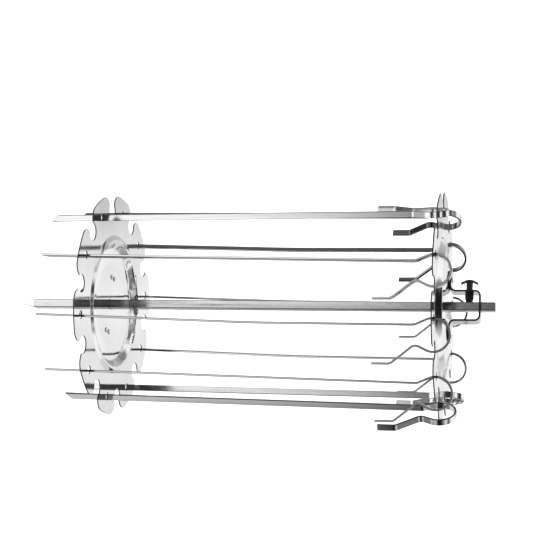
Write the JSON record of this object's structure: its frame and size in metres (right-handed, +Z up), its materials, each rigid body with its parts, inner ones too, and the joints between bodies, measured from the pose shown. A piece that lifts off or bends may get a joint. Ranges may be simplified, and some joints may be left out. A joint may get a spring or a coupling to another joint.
{
  "type": "rotisserie skewer cage",
  "caption": "Square rotisserie spit carrying two notched steel discs, clamped by thumb screws, with flat skewers between them whose bent handles clip over the rim.",
  "frame": {"origin": "centre of the spit's square drive end face", "axes": "+X along the spit, out of the drive end; +Z up; the spit's flats are rolled 15 degrees about X from the vertical"},
  "size_m": [0.46, 0.212, 0.2152],
  "materials": {
    "polished_steel": "mirror-polished stainless sheet",
    "brushed_steel": "drawn square bar, light lengthwise scratches",
    "brushed_strip": "rolled stainless strip, fine lengthwise grain",
    "black_steel": "black oxide, satin",
    "black_coating": "black enamel, semi-gloss"
  },
  "bodies": {
    "spit": {"spit_rod": "brushed_steel"},
    "left_disc": {"left_disc": "polished_steel", "left_hub_bracket": "polished_steel", "left_bracket_rivets": "polished_steel", "left_threaded_bush": "black_steel"},
    "left_screw": {"left_clamp_screw": "black_steel"},
    "left_wing": {"left_wing_head": "black_coating"},
    "right_disc": {"right_disc": "polished_steel", "right_hub_bracket": "polished_steel", "right_bracket_rivets": "polished_steel", "right_threaded_bush": "black_steel"},
    "right_screw": {"right_clamp_screw": "black_steel"},
    "right_wing": {"right_wing_head": "black_coating"},
    "skewer_01": {"skewer_01": "brushed_strip"},
    "skewer_02": {"skewer_02": "brushed_strip"},
    "skewer_03": {"skewer_03": "brushed_strip"},
    "skewer_04": {"skewer_04": "brushed_strip"},
    "skewer_05": {"skewer_05": "brushed_strip"},
    "skewer_06": {"skewer_06": "brushed_strip"},
    "skewer_07": {"skewer_07": "brushed_strip"},
    "skewer_08": {"skewer_08": "brushed_strip"},
    "skewer_09": {"skewer_09": "brushed_strip"},
    "skewer_10": {"skewer_10": "brushed_strip"}
  },
  "joints": [
    {"name": "left_disc_slide", "type": "slide", "parent": "spit", "child": "left_disc", "axis": [1, 0, 0], "range_m": [-0.025, 0.002]},
    {"name": "right_disc_slide", "type": "slide", "parent": "spit", "child": "right_disc", "axis": [1, 0, 0], "range_m": [-0.002, 0.01]},
    {"name": "left_screw_travel", "type": "slide", "parent": "left_disc", "child": "left_screw", "axis": [0, 0.2588, 0.9659], "range_m": [0, 0.0016]},
    {"name": "left_wing_turn", "type": "hinge", "parent": "left_screw", "child": "left_wing", "pos_m": [-0.3889, 0.00582, 0.02173], "axis": [0, 0.2588, 0.9659], "range_deg": [0, 720]},
    {"name": "right_screw_travel", "type": "slide", "parent": "right_disc", "child": "right_screw", "axis": [0, 0.2588, 0.9659], "range_m": [0, 0.0016]},
    {"name": "right_wing_turn", "type": "hinge", "parent": "right_screw", "child": "right_wing", "pos_m": [-0.0239, 0.00582, 0.02173], "axis": [0, 0.2588, 0.9659], "range_deg": [0, 720]},
    {"name": "skewer_01_swing", "type": "hinge", "parent": "right_disc", "child": "skewer_01", "pos_m": [-0.0473, -0.03661, 0.08222], "axis": [1, 0, 0], "range_deg": [-1, 8]},
    {"name": "skewer_02_swing", "type": "hinge", "parent": "right_disc", "child": "skewer_02", "pos_m": [-0.0473, -0.07794, 0.045], "axis": [1, 0, 0], "range_deg": [-102, 1]},
    {"name": "skewer_03_swing", "type": "hinge", "parent": "right_disc", "child": "skewer_03", "pos_m": [-0.0473, -0.08951, -0.00941], "axis": [1, 0, 0], "range_deg": [-84, 22]},
    {"name": "skewer_04_swing", "type": "hinge", "parent": "right_disc", "child": "skewer_04", "pos_m": [-0.0473, -0.06688, -0.06022], "axis": [1, 0, 0], "range_deg": [-46, 8]},
    {"name": "skewer_05_swing", "type": "hinge", "parent": "right_disc", "child": "skewer_05", "pos_m": [-0.0473, -0.01871, -0.08803], "axis": [1, 0, 0], "range_deg": [-5, 50]},
    {"name": "skewer_06_swing", "type": "hinge", "parent": "right_disc", "child": "skewer_06", "pos_m": [-0.0473, 0.03661, -0.08222], "axis": [1, 0, 0], "range_deg": [-48, 7]},
    {"name": "skewer_07_swing", "type": "hinge", "parent": "right_disc", "child": "skewer_07", "pos_m": [-0.0473, 0.07794, -0.045], "axis": [1, 0, 0], "range_deg": [-2, 53]},
    {"name": "skewer_08_swing", "type": "hinge", "parent": "right_disc", "child": "skewer_08", "pos_m": [-0.0473, 0.08951, 0.00941], "axis": [1, 0, 0], "range_deg": [-13, 94]},
    {"name": "skewer_09_swing", "type": "hinge", "parent": "right_disc", "child": "skewer_09", "pos_m": [-0.0473, 0.06688, 0.06022], "axis": [1, 0, 0], "range_deg": [-6, 100]},
    {"name": "skewer_10_swing", "type": "hinge", "parent": "right_disc", "child": "skewer_10", "pos_m": [-0.0473, 0.01871, 0.08803], "axis": [1, 0, 0], "range_deg": [-3, 100]}
  ],
  "couplings": [
    {"joint": "left_wing_turn", "follows": "left_screw_travel", "rad_per_m": 7854},
    {"joint": "right_wing_turn", "follows": "right_screw_travel", "rad_per_m": 7854}
  ]
}
